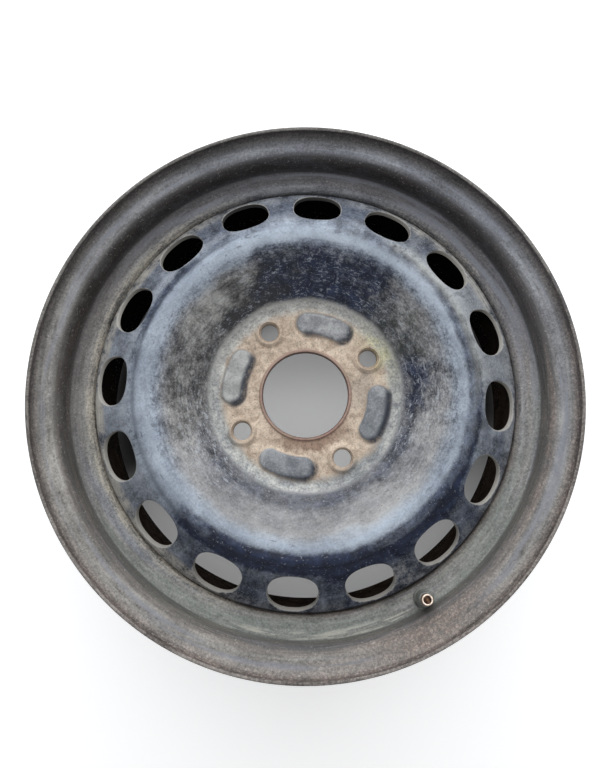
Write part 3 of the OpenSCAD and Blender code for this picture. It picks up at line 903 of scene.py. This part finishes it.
def disc_paint():
    """Blue-black paint, chalky and scuffed, with dust, cream dirt and rust about the hub, and painted
    highlights and shade.
    """
    p = Paint("disc_paint")
    brushed = p.along(42)
    broad = p.noise(34, 3, 0.55, 0.3)
    medium = p.noise(10, 6, 0.66, 0.6, 13)
    fine = p.noise(3.4, 5, 0.72, 0.3, 5, brushed)
    grain = p.noise(1.7, 3, 0.8, 0, 21)
    uneven = (broad - 0.5) * 0.8 + (medium - 0.5) + (fine - 0.5) + (grain - 0.5) * 0.8
    p.bend(16, 44, 14)

    # Chalky film over the paint; some of its patches are a painted highlight along the crest and painted
    # shade below it
    film = 0.6
    for amount, *place in FILM_AND_PAINTED_LIGHT_PATCHES:
        film = film + p.patch(*place) * amount
    calm = p.most(p.patch(178, 60, 25, 66, 112, 6), p.ring(108, 124, 3), p.ring(126, 152, 3) * 0.6)
    share = p.ramp(film + uneven * p.level(calm, 0.9, 0.32), 0, 1)
    navy = p.layers(
        p.tones(medium, (20, 26, 42), (44, 53, 78), 0.36, 0.66),
        (p.patch(296, 48, 18, 66, 100, 6) * 0.8, (58, 57, 56)),
        (p.patch(56, 16, 10, 66, 96, 6) * 0.6, (66, 68, 62)),
    )
    chalk = p.layers(
        p.tones(broad, (154, 153, 152), (172, 171, 170)),
        # Bluish chalk from the crest outwards: a painted reflection of bluish sky
        (p.ramp(p.bent_r, 97, 107), p.tones(broad, (156, 165, 177), (170, 179, 191))),
        (p.patch(300, 42, 16, 60, 99, 6) * 0.7, p.tones(medium, (140, 139, 136), (168, 167, 163))),
        (p.patch(60, 36, 14, 118, 160, 4) * 0.8, (176, 176, 170)),
        (p.ring(126, 160, 3) * 0.7, (150, 155, 162)),
    )
    colour = p.shade(p.mix(share, navy, chalk), (medium, 0.3), (fine, 0.7), (grain, 1.2))

    # Small chips and short scratches, most in the dark upper bowl
    off_hub = p.ramp(p.r, 68, 72)
    upper_chips = p.most(p.flecks(2.6, 0.58, 3, brushed), p.flecks(2.4, 0.6, 45))
    chips = p.most(
        upper_chips * p.patch(0, 70, 30, 70, 104, 3) * p.ramp(medium, 0.4, 0.6),
        p.flecks(3, 0.57, 9, brushed) * p.patch(245, 24, 14, 70, 92, 4),
        p.flecks(3, 0.6, 29, brushed) * p.patch(100, 30, 14, 72, 104, 4),
        p.flecks(1.6, 0.63, 15) * 0.7,
    )
    pits = p.flecks(2.4, 0.64, 33, brushed) * off_hub

    # Dust in the ring and at the junction with the rim, and painted shade in the gap at the rim and in
    # the groove
    webs = p.sector(155, 8, 6) * p.ring(136, 156, 4) * p.ramp(uneven, -0.1, 0.3)
    junction = p.ring(149, 160, 2.5) * p.ramp(uneven, -0.3, 0.2)
    dusty = p.most(p.sector(268, 66, 20), p.sector(45, 24, 12) * 0.7, 0.15)
    wander = p.r + (broad - 0.5) * 5
    rub_lines = p.most(p.ring(153.1, 153.7, 0.4, wander), p.ring(150.6, 151, 0.3, wander) * 0.7)
    rub_sides = p.most(p.sector(48, 30, 8), p.sector(248, 42, 12) * 0.7)
    rub = rub_lines * rub_sides * p.ramp(medium, 0.44, 0.52)
    # Painted shade: a black line in the gap between disc and rim, and a dark line in the groove
    gap_shade = p.ramp(p.r, 155.3, 156.4) * p.sector(160, 40, 14) * p.ramp(p.wear, 0.6, 0.3)
    groove = p.ring(120.4, 122.4, 2) * p.most(p.sector(295, 50, 20), p.sector(215, 35, 15), 0.3)
    colour = p.layers(
        colour,
        (calm * share * 0.5, chalk),
        (chips * off_hub * 0.62, (178, 183, 190)),
        (pits * 0.45, (52, 54, 60)),
        (webs * 0.75, (176, 174, 168)),
        (junction * dusty * 0.8, (178, 172, 160)),
        (rub * 0.8, (206, 204, 198)),
        (gap_shade * 0.92, (14, 14, 16)),
        (groove * 0.45, (40, 46, 60)),
    )

    # Hub: cream dirt on the flat, inside a grey collar
    flat = p.ramp(p.r + uneven * 8, 66, 59)
    cream = p.mix(p.ramp(grain, 0.53, 0.64) * 0.7,
                  p.tones(medium, (188, 170, 152), (214, 197, 178), 0.38, 0.62), (124, 98, 80))
    collar = p.layers(
        p.tones(medium, (154, 156, 157), (190, 190, 186), 0.38, 0.62),
        (p.ramp(fine, 0.5, 0.64) * 0.35, (116, 116, 112)),
        (p.patch(145, 26, 14, 58, 70, 3) * 0.5, (104, 106, 110)),
        (p.sector(50, 30, 12) * p.ramp(broad, 0.45, 0.6) * 0.5, (180, 178, 146)),
        (p.sector(32, 46, 20) * p.ring(50, 64, 4) * 0.75, (198, 196, 186)),
        (p.ramp(p.noise(8, 4, 0.6, 0, 83, brushed), 0.5, 0.62) * 0.4, (126, 129, 134)),
        (p.sector(350, 64, 20) * 0.45, (204, 202, 196)),
    )
    collar_share = p.ramp(p.r + uneven * 5, 74, 70)

    # Pads: grey tops with pale specks, and painted shade down the sides that face away from the light
    pads = p.stored("pads")
    pad_tone = p.layers(
        p.tones(medium, (136, 138, 143), (164, 166, 168)),
        (p.sector(290, 30, 15) * 0.5, (180, 180, 176)),
        (p.sector(150, 60, 25), p.mix(medium, (98, 104, 112), (136, 141, 146))),
        (p.ramp(grain, 0.54, 0.64) * 0.25, (186, 188, 188)),
    )
    pad_share = p.ramp(pads + uneven * 0.35, 0.2, 0.7)
    pad_foot = p.ring(0.06, 0.8, 0.16, pads) * p.ramp(uneven + p.r * 0.02, 0.75, 1.25)
    # Painted shade on the pads' lower sides
    pad_shade = p.stored("pad_shade_side") * p.ramp(uneven, -0.45, 0.1)

    # Brown and yellow stains on the flat, and rust on the bore's lip and the bosses
    brown = p.ring(31, 42, 3, p.r + uneven * 6) * p.sector(170, 40, 25)
    yellow = p.patch(58, 16, 10, 54, 68, 4) * p.ramp(medium, 0.42, 0.56)
    rust_ring = p.ring(31.4, 34.6, 0.7) * p.ramp(uneven, -0.35, 0.1)
    boss_edge = p.ramp(p.wear + uneven * 0.8, 0.7, 1.1) * p.ring(40, 68, 1)
    hub = p.layers(
        p.mix(flat, collar, cream),
        (brown * 0.75, (138, 112, 96)),
        (yellow * 0.5, (198, 192, 146)),
        (p.patch(88, 18, 12, 33, 50, 5) * 0.4, (128, 124, 118)),
        (pad_share * 0.95, pad_tone),
        (pad_foot * 0.4, (66, 68, 72)),
        (pad_shade * 0.9, (50, 54, 64)),
        (rust_ring * 0.8, (146, 118, 110)),
        (p.ring(30, 32.3, 0.25) * 0.75, (74, 52, 48)),
        (boss_edge * 0.7, (134, 108, 88)),
    )
    hub = p.mix(pad_share, p.shade(hub, (medium, 0.6), (fine, 1.2), (grain, 2.2)),
                p.shade(hub, (medium, 0.9), (grain, 1)))

    # Worn edges of the vents, their walls with painted shade on the upper ones, the brown back of the
    # disc with painted shade, and rust spots
    around_vents = p.ring(118, 160, 2)
    edge = p.ramp(p.wear + uneven * 0.9, 0.6, 1) * around_vents
    wall = p.ramp(p.wear, 1, 1.4) * around_vents
    # Vent walls pale below and dark above: painted shade
    wall_tone_with_painted_shade = p.mix(p.sector(350, 34, 28), (172, 168, 161), (34, 34, 36))
    inside = p.ring(150, 160, 1) * p.ramp(p.z, 1, -5)
    spots = p.specks(5.5, 0.13, 3) * p.ramp(broad, 0.5, 0.6)
    colour = p.layers(
        colour,
        (collar_share, hub),
        (edge * 0.85, (172, 170, 165)),
        (wall * 0.92, p.shade(wall_tone_with_painted_shade, (fine, 0.8))),
        (inside, brown_with_painted_shade(p, medium)),
        (spots * 0.6, (86, 64, 50)),
    )

    film_all = p.most(share, collar_share)
    roughness = p.level(film_all, 0.38, 0.72) + fine * 0.14 - 0.07
    height = (fine * 0.6 + grain * 0.4 + flat * medium * 0.7) * p.level(pad_share, 1, 0.5)
    specular = p.level(film_all, 0.2, 0.14) * (1 - inside)
    return p.finish(colour, roughness, height, 0.22, specular=specular)


def rim_paint():
    """Dark rim paint under a worn grey and beige film, with brown dirt along the seat, painted shade
    towards the top and a painted sheen in long patches.
    """
    p = Paint("rim_paint")
    broad = p.noise(44, 3, 0.55, 0.3, 31)
    medium = p.noise(11, 6, 0.66, 0.6, 17)
    fine = p.noise(3.4, 5, 0.72, 0.3, 9, p.along(90))
    grain = p.noise(1.7, 3, 0.8, 0, 2)
    rolled = p.along(17)
    streaks = p.noise(3.6, 5, 0.66, 0, 3, rolled)
    uneven = ((broad - 0.5) * 0.8 + (medium - 0.5) * 0.6 + (streaks - 0.5) * 0.9 + (fine - 0.5) * 0.7
              + (grain - 0.5) * 0.8)
    # The top left of the rim, where painted shade darkens the seat, the hump and the lip
    upper_left = p.sector(336, 88, 42)
    depth = LIP_Z - p.z

    # Film, greenish and bluish on the well's wall
    cool = p.tones(broad, (126, 129, 137), (144, 147, 153))
    warm = p.tones(broad, (142, 139, 135), (160, 157, 152))
    film = p.ramp(uneven * 0.7 + 0.74, 0, 1)
    tint = p.noise(20, 4, 0.6, 0, 57, rolled)
    near = p.ramp(p.z, -14, -8)
    inner = p.ring(160, 176, 2) * p.sector(180, 90, 30) * near

    # Brown dirt on the seat and heel, with painted shade that makes it darkest at the top, painted shade
    # on the hump at the top, and duller paint towards the lip, with painted shade at its top
    dirt = p.ring(9, 28, 5, depth) * p.ring(170, 180, 2.5)
    dirt = dirt * p.level(upper_left, 0.66, 0.96) * p.ramp(uneven, -0.55, 0.1)
    dirt_and_shade_tone = p.mix(upper_left * 0.8, p.tones(streaks, (62, 56, 52), (100, 90, 83)), (38, 35, 35))
    hump = p.ring(26, 40, 5, depth) * p.ring(165, 180, 3) * upper_left * 0.66
    lip = p.ring(188, 196, 3) * p.level(p.sector(350, 66, 35), 0.28, 0.8)
    outer_edge = p.ramp(p.r, 190.4, 192.8) * p.level(p.sector(180, 100, 30), 0.45, 0.8)
    stain = p.most(
        p.sector(152, 14, 8) * p.ring(177, 192, 3) * 0.9,
        p.ramp(p.r, 188, 191) * 0.6,
        p.ramp(p.noise(26, 4, 0.6, 0, 71, rolled), 0.54, 0.66) * 0.5,
    )
    stain = stain * p.ramp(uneven, -0.35, 0.25) * (1 - upper_left * 0.7)

    # The barrel behind the disc is dull dark brown, partly painted shade, with dust where the disc meets
    # the rim
    barrel = p.ramp(p.z, 3, -6) * p.level(p.stored("street"), 0.4, 1)
    dusty = p.most(p.sector(268, 66, 20), p.sector(45, 18, 12) * 0.5, 0.1)
    dust = p.ring(156, 163, 2) * p.ramp(uneven, -0.3, 0.25) * p.ramp(p.z, -8, -3) * dusty
    edge = p.ramp(p.wear + uneven * 0.8, 0.7, 1.2)
    colour = p.layers(
        p.tones(medium, (66, 63, 62), (92, 88, 85), 0.38, 0.62),
        (film, p.mix(p.sector(20, 70, 50), warm, cool)),
        (inner * p.ramp(tint, 0.42, 0.56) * 0.6, (128, 136, 132)),
        (inner * p.ramp(tint, 0.5, 0.38) * 0.5, (124, 132, 146)),
        (dirt, dirt_and_shade_tone),
        (hump, (84, 80, 80)),
        (lip, (80, 78, 76)),
        (outer_edge, (62, 56, 54)),
        (stain, p.tones(grain, (112, 98, 92), (146, 132, 124), 0.45)),
        (barrel, brown_with_painted_shade(p, medium)),
        (dust * 0.75, (180, 173, 160)),
        (edge * 0.5, (150, 147, 142)),
        (p.flecks(1.7, 0.62, 23) * 0.4, (178, 176, 172)),
        (p.flecks(2, 0.62, 61) * 0.4, (58, 54, 52)),
    )
    colour = p.shade(colour, (streaks, 1.1), (fine, 0.6), (grain, 1.4))

    # Painted sheen in long smooth lavender patches, and cream streaks above the valve
    sheen = p.ramp(p.noise(9, 4, 0.6, 0, 77, rolled), 0.47, 0.6)
    on_seat = p.ramp(depth, 27, 31) * p.ring(163, 176, 2) * p.sector(20, 70, 30) * near
    on_flange = p.ring(181, 187.5, 2) * (1 - p.sector(152, 14, 8))
    cream = p.ramp(streaks, 0.5, 0.6) * p.ring(169, 175, 1.5) * p.ramp(depth, 27, 31)
    colour = p.layers(
        colour,
        (sheen * p.most(on_seat, on_flange) * 0.6, (139, 142, 152)),
        (cream * p.sector(176, 24, 10) * near * 0.6, (196, 192, 180)),
    )
    roughness = p.level(barrel, p.level(film, 0.42, 0.68) + fine * 0.16 + dirt * 0.12 - 0.08, 1)
    height = fine * 0.65 + grain * 0.4 + dirt * medium * 0.8
    return p.finish(colour, roughness, height, 0.22, specular=p.level(barrel, 0.2, 0))


def weld_paint():
    """Painted weld metal with rust in its ripples."""
    p = Paint("weld_steel")
    medium = p.noise(5, 5, 0.6, 0.3)
    fine = p.noise(1.2, 4, 0.6)
    colour = p.tones(medium, (62, 58, 56), (112, 84, 66), 0.4, 0.62)
    return p.finish(colour, fine * 0.3 + 0.45, medium + fine * 0.5, 0.3)


def rubber_skin():
    """Dull black rubber with dust in patches."""
    p = Paint("rubber")
    medium = p.noise(5, 5, 0.6, 0.3, 4)
    fine = p.noise(0.8, 4, 0.6)
    dust = p.ramp(medium + fine * 0.6, 0.55, 0.95)
    colour = p.mix(dust, (74, 76, 76), (142, 144, 138))
    return p.finish(colour, dust * 0.25 + 0.55, fine + medium, 0.12, specular=0.35)


def brass_metal(name, bright, dull, dirt_share):
    """Weathered brass: bright where it is worn, with darker stains in the hollows."""
    p = Paint(name)
    medium = p.noise(2.2, 5, 0.6, 0.3, 6)
    fine = p.noise(0.4, 4, 0.6)
    dirt = p.ramp(medium + fine * 0.4, 0.55, 0.9) * dirt_share
    colour = p.mix(dirt, p.mix(p.wear, dull, bright), (52, 36, 24))
    return p.finish(colour, dirt * 0.4 + 0.34, fine + medium, 0.05, metallic=p.level(dirt, 0.75, 0.1))


def plain_worn(name, tone, rough, metallic=0):
    """Simple worn surface for the hidden pieces of the valve core."""
    p = Paint(name)
    fine = p.noise(0.6, 4, 0.6)
    darker = tuple(v * 0.6 for v in srgb(*tone)[:3]) + (1,)
    return p.finish(p.tones(fine, tone, darker, 0.4, 0.65), fine * 0.15 + rough, fine, 0.03, metallic)


# Stage, lights and camera

def make_floor():
    """Pale floor, white round the wheel to camera and reflections; beneath the wheel, painted light
    where light falls through the bore and vents, and painted shadow elsewhere.
    """
    half, z = 3.0, BACK_LIP_Z * MM
    mesh = bpy.data.meshes.new("floor")
    corners = [(-half, -half, z), (half, -half, z), (half, half, z), (-half, half, z)]
    mesh.from_pydata(corners, [], [(0, 1, 2, 3)])
    p = Paint("floor_white")
    up = p.x * math.cos(PHOTO_UP) + p.y * math.sin(PHOTO_UP)
    # Painted light and shadow under the wheel: emission where light falls through the bore and lower
    # vents, and a darker base colour in the wheel's shade
    painted_shadow_side = p.most(p.sector(266, 20, 8), p.sector(78, 12, 6))
    painted_light_under_vents = p.ramp(up, 0, -120, 0.0, 0.16) * (1 - painted_shadow_side)
    within = p.level(p.ramp(p.r, 75, 100), p.ramp(up, 60, -10, 0.17, 0.26), painted_light_under_vents)
    glow = p.level(p.ramp(p.r, 178, 196), within, 0.5)
    shade = p.ring(100, 182, 14) * p.most(p.ramp(up, -70, 10), painted_shadow_side)
    p.join({
        "Emission Strength": glow * p.seen(),
        "Emission Color": (1, 1, 1, 1),
        "Base Color": p.mix(shade, (0.8, 0.8, 0.8, 1), (0.12, 0.12, 0.12, 1)),
        "Roughness": 0.9,
        "Specular IOR Level": 0.0,
    })
    mesh.materials.append(p.material)
    floor = add_object("floor", mesh)


def make_world():
    """Dim even light all round, and white where the camera or a reflection sees past the floor."""
    world = bpy.data.worlds.new("studio")
    world.use_nodes = True
    bpy.context.scene.world = world
    graph = Graph(world.node_tree)
    dim = graph.node("ShaderNodeBackground", ((0.9, 0.95, 1, 1), 0.16))
    white = graph.node("ShaderNodeBackground", ((1, 1, 1, 1), 1.0))
    graph.end("ShaderNodeOutputWorld", graph.node("ShaderNodeMixShader", (graph.seen(), dim, white)))


def area_light(name, clock, lift, distance, size, power, colour=(1, 1, 1)):
    """Soft light that looks at the wheel's middle from a clock angle and a lift in degrees."""
    lift = math.radians(lift)
    way = Vector(around(math.cos(lift), math.sin(lift), PHOTO_UP - math.radians(clock)))
    data = bpy.data.lights.new(name, "AREA")
    data.shape = "RECTANGLE"
    data.size, data.size_y = size
    data.energy = power
    data.color = colour
    light = add_object(name, data)
    light.location = way * distance
    light.rotation_euler = way.to_track_quat("Z", "Y").to_euler()


def make_camera():
    """The photo's camera, from a fit of the wheel's circles in the photo's directions."""
    image_w, image_h = 597, 768
    focal_px, centre_px = 627.3, (304.4, 375.3)
    spot = Vector((-1.6, -45.9, 433.1))
    tilt = Matrix.Rotation(math.radians(-7.43), 3, "X") @ Matrix.Rotation(math.radians(0.10), 3, "Y")
    to_part = Matrix.Rotation(PHOTO_UP - math.pi / 2, 3, "Z")
    data = bpy.data.cameras.new("camera")
    data.sensor_fit = "VERTICAL"
    data.sensor_height = 24
    data.lens = focal_px * data.sensor_height / image_h
    data.shift_x = (image_w / 2 - centre_px[0]) / image_h
    data.shift_y = (centre_px[1] - image_h / 2) / image_h
    data.clip_start = 0.01
    camera = add_object("camera", data)
    matrix = (to_part @ tilt.transposed()).to_4x4()
    matrix.translation = (to_part @ spot + Vector((0, 0, LIP_Z))) * MM
    camera.matrix_world = matrix
    bpy.context.scene.camera = camera


# Assembly

def dress(obj, material):
    obj.data.materials.clear()
    obj.data.materials.append(material)


def place_piece(piece, material, slot, *nodes):
    dress(piece, material)
    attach(piece, "wheel")
    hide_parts(*nodes)


make_camera()
make_floor()
make_world()
area_light("key", 0, 30, 1.6, (2.8, 1.1), 33, (0.95, 0.975, 1))
area_light("top", 10, 80, 1.5, (1.6, 1.6), 13)

disc = make_disc()
mark_pads(disc.data)
rubber = rubber_skin()
brass = brass_metal("brass", (240, 222, 206), (120, 92, 66), 0.5)
core_brass = brass_metal("core_brass", (96, 66, 42), (84, 56, 36), 0.9)
place_piece(disc, disc_paint(), "disc_paint", "disc")
rim = make_rim()
mark_street_side(rim.data)
place_piece(rim, rim_paint(), "rim_paint", "rim")
place_piece(make_welds(), weld_paint(), "weld_steel", "weld_beads")
place_piece(make_valve_rubber(), rubber, "rubber", "valve_rubber")
place_piece(make_valve_stem(), brass, "brass", "valve_stem")
for name in ("core_plug", "core_barrel", "core_pin", "core_cup"):
    dress(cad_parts[name], core_brass)
dress(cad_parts["core_gasket"], plain_worn("gasket", (190, 90, 70), 0.5))
dress(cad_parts["cup_seal"], rubber)
spring = make_spring()
spring_steel = plain_worn("spring_steel", (190, 190, 192), 0.3, 1.0)
place_piece(spring, spring_steel, "spring_steel", "core_spring")
press_spring(spring)

bpy.context.scene.view_settings.view_transform = "Standard"
